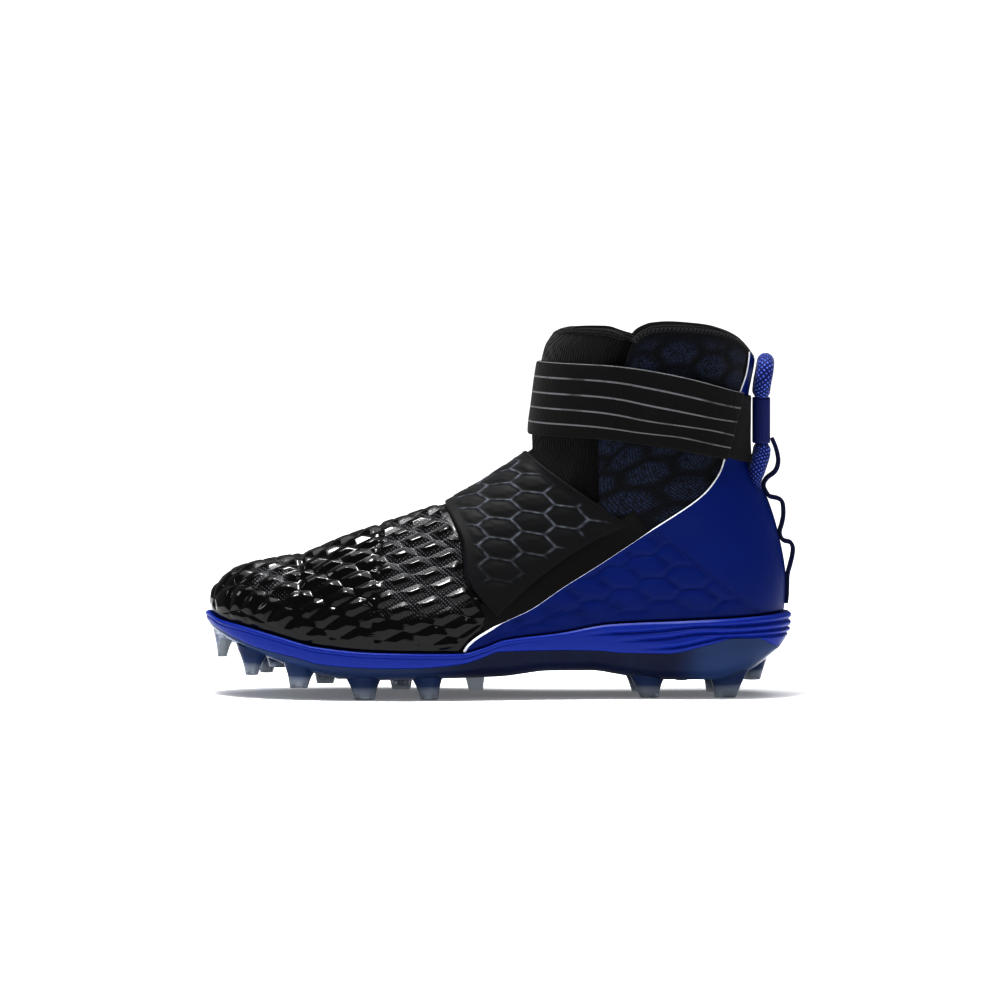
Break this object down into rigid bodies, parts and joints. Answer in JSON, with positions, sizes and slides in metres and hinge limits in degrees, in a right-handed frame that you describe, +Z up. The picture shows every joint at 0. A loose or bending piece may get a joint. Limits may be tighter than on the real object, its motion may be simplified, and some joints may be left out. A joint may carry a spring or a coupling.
{
  "type": "american football cleat",
  "caption": "High-cut american football cleat, left shoe: studded plate, ribbed carrier, moulded forefoot skin, midfoot wrap, ankle strap and rope heel loop.",
  "frame": {"origin": "middle of the shoe's length and width, at the ground under the studs", "axes": "+X from toe to heel, -Y to the lateral side, +Y to the medial side, +Z up"},
  "size_m": [0.2954, 0.1005, 0.1874],
  "materials": {
    "smoky_translucent_plate": "smoky translucent, moulded",
    "blue_midsole": "satin moulded foam carrier",
    "black_insole": "matt knitted top cloth",
    "black_mesh": "matt quilted mesh",
    "black_knit": "matt ribbed knit",
    "gloss_black_skin": "glossy moulded film",
    "black_wrap_fabric": "coated fabric with an embossed net",
    "blue_panel": "coated synthetic, satin",
    "black_elastic": "ribbed elastic with light stripes",
    "black_plain_strap": "plain synthetic",
    "blue_rope": "braided polyester with light flecks",
    "blue_sleeve": "satin ribbed sleeve",
    "navy_webbing": "woven tape"
  },
  "bodies": {
    "root": {"outsole": "smoky_translucent_plate", "midsole": "blue_midsole", "insole": "black_insole", "upper": "black_mesh", "tongue": "black_knit", "forefoot_shell": "gloss_black_skin", "midfoot_wrap": "black_wrap_fabric", "heel_counter": "blue_panel", "ankle_strap": "black_elastic", "strap_keeper": "black_plain_strap", "pull_loop": "blue_rope", "pull_loop_sleeve": "blue_sleeve", "heel_webbing": "navy_webbing"}
  },
  "joints": []
}
